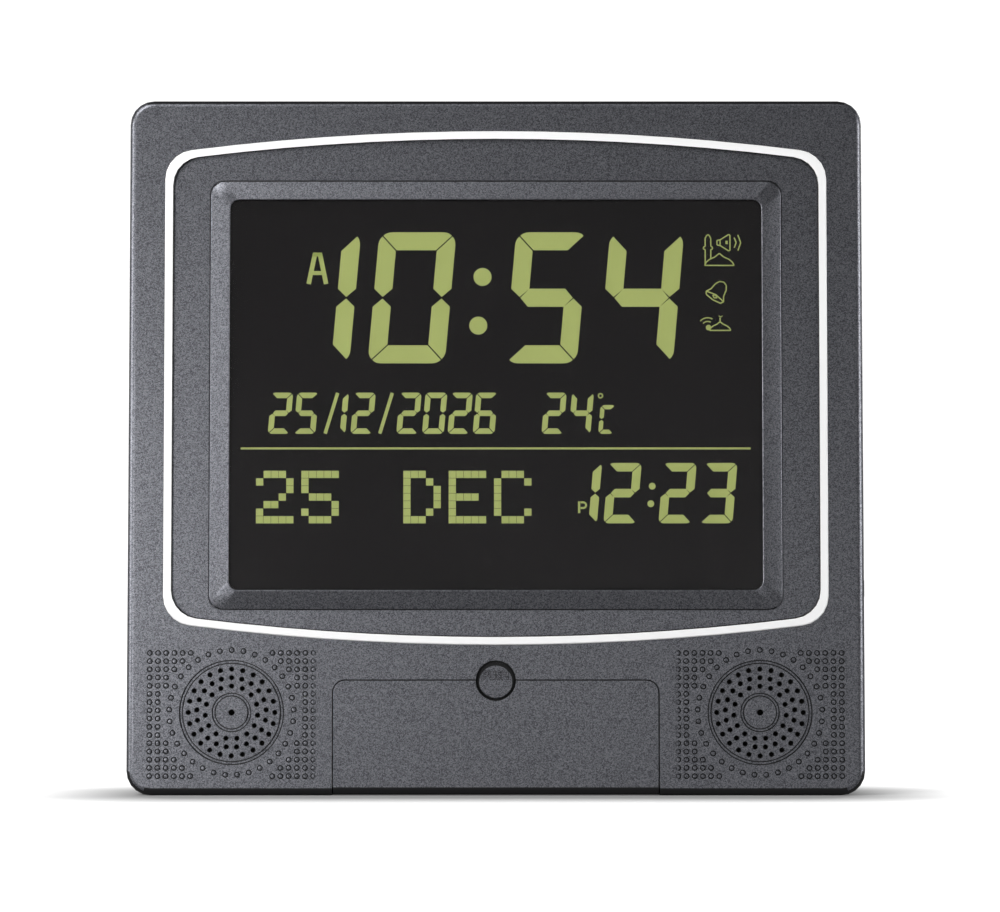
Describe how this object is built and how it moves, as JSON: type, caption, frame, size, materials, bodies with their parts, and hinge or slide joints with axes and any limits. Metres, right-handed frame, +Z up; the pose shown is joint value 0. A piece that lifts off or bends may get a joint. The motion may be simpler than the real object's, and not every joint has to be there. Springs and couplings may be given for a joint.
{
  "type": "azan clock",
  "caption": "Prayer-time clock with a large framed display, round loudspeaker grilles, a flap over its keys, a push button, a battery bay and a fold-out stand.",
  "frame": {"origin": "middle of the clock's box on the surface that it stands on", "axes": "+X to the right as the front is looked at, +Y to the back so that the front faces -Y, +Z up"},
  "size_m": [0.2609, 0.036, 0.246],
  "materials": {
    "shell_grey": "fine metallic paint on moulded ABS",
    "shell_black": "spark-eroded texture",
    "bezel_grey": "fine metallic paint, satin",
    "trim_bright": "bright plated",
    "lens_clear": "clear smoked sheet",
    "display_glass": "black polariser film",
    "diffuser_white": "milky",
    "rubber_dark": "matte",
    "board_green": "solder mask",
    "epoxy_black": "satin",
    "steel_plated": "nickel plated",
    "cone_paper": "pulp",
    "ferrite_grey": "matte",
    "plastic_black": "satin",
    "cell_sleeve": "plain printed sleeve"
  },
  "bodies": {
    "case": {"front_case": "shell_grey", "rear_case": "shell_black", "trim_ring": "trim_bright", "lcd_bezel": "bezel_grey", "display_lens": "lens_clear", "lcd_panel": "display_glass", "backlight_panel": "diffuser_white", "zebra_strip_top": "rubber_dark", "zebra_strip_bottom": "rubber_dark", "main_board": "board_green", "main_chip": "epoxy_black", "voice_chip": "epoxy_black", "crystal": "steel_plated", "temperature_sensor": "epoxy_black", "key_board": "board_green", "speaker_frame_left": "steel_plated", "speaker_frame_right": "steel_plated", "speaker_cone_left": "cone_paper", "speaker_cone_right": "cone_paper", "speaker_magnet_left": "ferrite_grey", "speaker_magnet_right": "ferrite_grey", "push_spring": "steel_plated", "volume_switch": "steel_plated", "battery_cell_1": "cell_sleeve", "battery_cell_2": "cell_sleeve", "battery_cell_3": "cell_sleeve", "battery_cell_4": "cell_sleeve", "battery_spring_1": "steel_plated", "battery_spring_2": "steel_plated", "battery_spring_3": "steel_plated", "battery_spring_4": "steel_plated", "contact_link_lower": "steel_plated", "contact_link_middle": "steel_plated", "contact_link_upper": "steel_plated", "contact_plus": "steel_plated", "contact_minus": "steel_plated", "case_screw_1": "steel_plated", "case_screw_2": "steel_plated", "case_screw_3": "steel_plated", "case_screw_4": "steel_plated", "board_screw_1": "steel_plated", "board_screw_2": "steel_plated", "board_screw_3": "steel_plated", "board_screw_4": "steel_plated", "key_board_screw_1": "steel_plated", "key_board_screw_2": "steel_plated"},
    "flap": {"keypad_door": "shell_grey"},
    "button": {"push_button": "shell_grey"},
    "key_1": {"key_cap_1": "rubber_dark"},
    "key_2": {"key_cap_2": "rubber_dark"},
    "key_3": {"key_cap_3": "rubber_dark"},
    "key_4": {"key_cap_4": "rubber_dark"},
    "key_5": {"key_cap_5": "rubber_dark"},
    "key_6": {"key_cap_6": "rubber_dark"},
    "key_7": {"key_cap_7": "rubber_dark"},
    "key_8": {"key_cap_8": "rubber_dark"},
    "volume": {"volume_knob": "plastic_black"},
    "battery_lid": {"battery_door": "shell_black"},
    "stand": {"stand_leg": "shell_black"}
  },
  "joints": [
    {"name": "flap_hinge", "type": "hinge", "parent": "case", "child": "flap", "pos_m": [0, -0.0125, 0.0056], "axis": [1, 0, 0], "range_deg": [0, 90]},
    {"name": "button_press", "type": "slide", "parent": "case", "child": "button", "axis": [0, 1, 0], "range_m": [0, 0.0015], "stiffness_N_per_m": 300, "springref_m": -0.001, "deforming": ["push_spring"]},
    {"name": "key_1_press", "type": "slide", "parent": "case", "child": "key_1", "axis": [0, 1, 0], "range_m": [0, 0.0008], "stiffness_N_per_m": 400, "springref_m": -0.0005},
    {"name": "key_2_press", "type": "slide", "parent": "case", "child": "key_2", "axis": [0, 1, 0], "range_m": [0, 0.0008], "stiffness_N_per_m": 400, "springref_m": -0.0005},
    {"name": "key_3_press", "type": "slide", "parent": "case", "child": "key_3", "axis": [0, 1, 0], "range_m": [0, 0.0008], "stiffness_N_per_m": 400, "springref_m": -0.0005},
    {"name": "key_4_press", "type": "slide", "parent": "case", "child": "key_4", "axis": [0, 1, 0], "range_m": [0, 0.0008], "stiffness_N_per_m": 400, "springref_m": -0.0005},
    {"name": "key_5_press", "type": "slide", "parent": "case", "child": "key_5", "axis": [0, 1, 0], "range_m": [0, 0.0008], "stiffness_N_per_m": 400, "springref_m": -0.0005},
    {"name": "key_6_press", "type": "slide", "parent": "case", "child": "key_6", "axis": [0, 1, 0], "range_m": [0, 0.0008], "stiffness_N_per_m": 400, "springref_m": -0.0005},
    {"name": "key_7_press", "type": "slide", "parent": "case", "child": "key_7", "axis": [0, 1, 0], "range_m": [0, 0.0008], "stiffness_N_per_m": 400, "springref_m": -0.0005},
    {"name": "key_8_press", "type": "slide", "parent": "case", "child": "key_8", "axis": [0, 1, 0], "range_m": [0, 0.0008], "stiffness_N_per_m": 400, "springref_m": -0.0005},
    {"name": "volume_slide", "type": "slide", "parent": "case", "child": "volume", "axis": [0, 0, 1], "range_m": [-0.004, 0]},
    {"name": "battery_lid_lift", "type": "slide", "parent": "case", "child": "battery_lid", "axis": [0, 1, 0], "range_m": [0, 0.03]},
    {"name": "stand_hinge", "type": "hinge", "parent": "case", "child": "stand", "pos_m": [0, 0.0162, 0.115], "axis": [1, 0, 0], "range_deg": [0, 30]}
  ]
}
